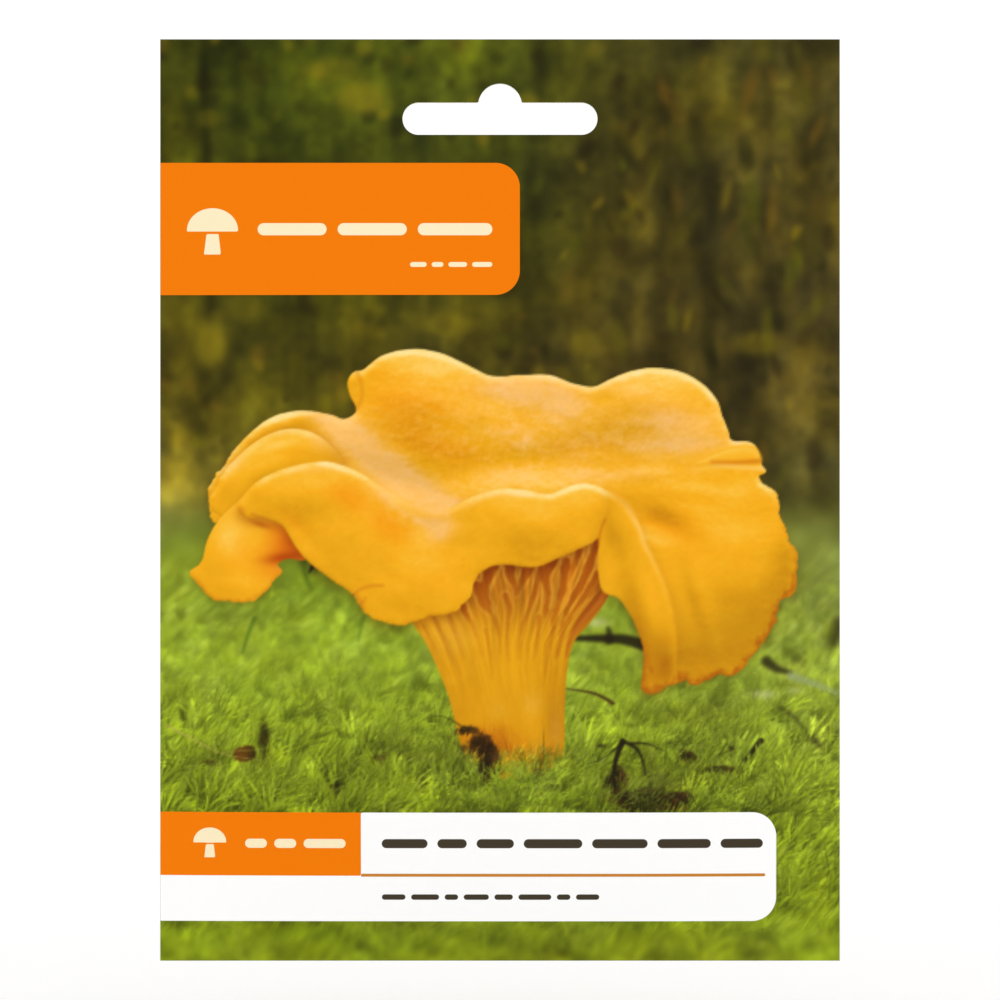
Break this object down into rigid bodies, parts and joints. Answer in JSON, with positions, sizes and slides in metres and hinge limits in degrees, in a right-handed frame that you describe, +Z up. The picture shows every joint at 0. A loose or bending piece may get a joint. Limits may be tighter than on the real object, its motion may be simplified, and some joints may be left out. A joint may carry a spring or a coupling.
{
  "type": "hanging packet of mushroom spawn",
  "caption": "Flat folded paper packet with a euro slot in its header, a picture of an orange mushroom in moss on its front, and a film sachet of spawn inside.",
  "frame": {"origin": "crown of the euro slot, where the display peg carries the packet, midway between the two panels", "axes": "+X along the front towards the viewer's right, +Y out of the back, +Z up towards the header"},
  "size_m": [0.1116, 0.0074, 0.1512],
  "materials": {
    "printed_front": "satin",
    "printed_back": "satin",
    "printed_top_flap": "satin",
    "printed_lower_flaps": "satin",
    "adhesive": "satin",
    "sachet_film": "gloss",
    "spawn": "matte"
  },
  "bodies": {
    "root": {"front_panel": "printed_front", "back_panel": "printed_back", "top_flap": "printed_top_flap", "bottom_flap": "printed_lower_flaps", "side_flap": "printed_lower_flaps", "top_flap_glue": "adhesive", "bottom_flap_glue": "adhesive", "side_flap_glue": "adhesive", "sachet_front_film": "sachet_film", "sachet_back_film": "sachet_film", "spawn_fill": "spawn"}
  },
  "joints": []
}
